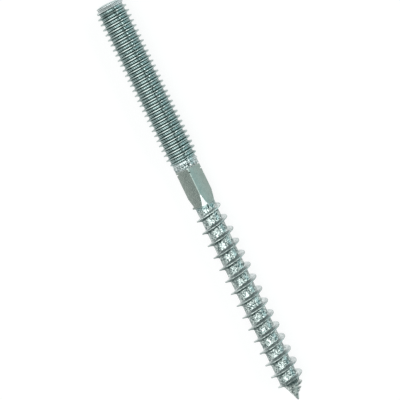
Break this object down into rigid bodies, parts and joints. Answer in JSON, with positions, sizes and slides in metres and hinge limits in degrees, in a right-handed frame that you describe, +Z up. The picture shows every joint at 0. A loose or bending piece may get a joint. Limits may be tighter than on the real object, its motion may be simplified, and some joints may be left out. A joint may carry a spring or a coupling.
{
  "type": "hanger bolt",
  "caption": "Straight steel bolt with a machine thread at one end, a pressed square drive in the middle and a wood thread with a gimlet point at the other end.",
  "frame": {"origin": "on the floor under the middle of the lying bolt", "axes": "+X along the bolt from the machine end to the point, +Z up, one rounded corner of the square drive facing up"},
  "size_m": [0.08, 0.006, 0.0059],
  "materials": {
    "zinc_plated_steel": "bright blue-white zinc plating"
  },
  "bodies": {
    "root": {"hanger_bolt": "zinc_plated_steel"}
  },
  "joints": []
}
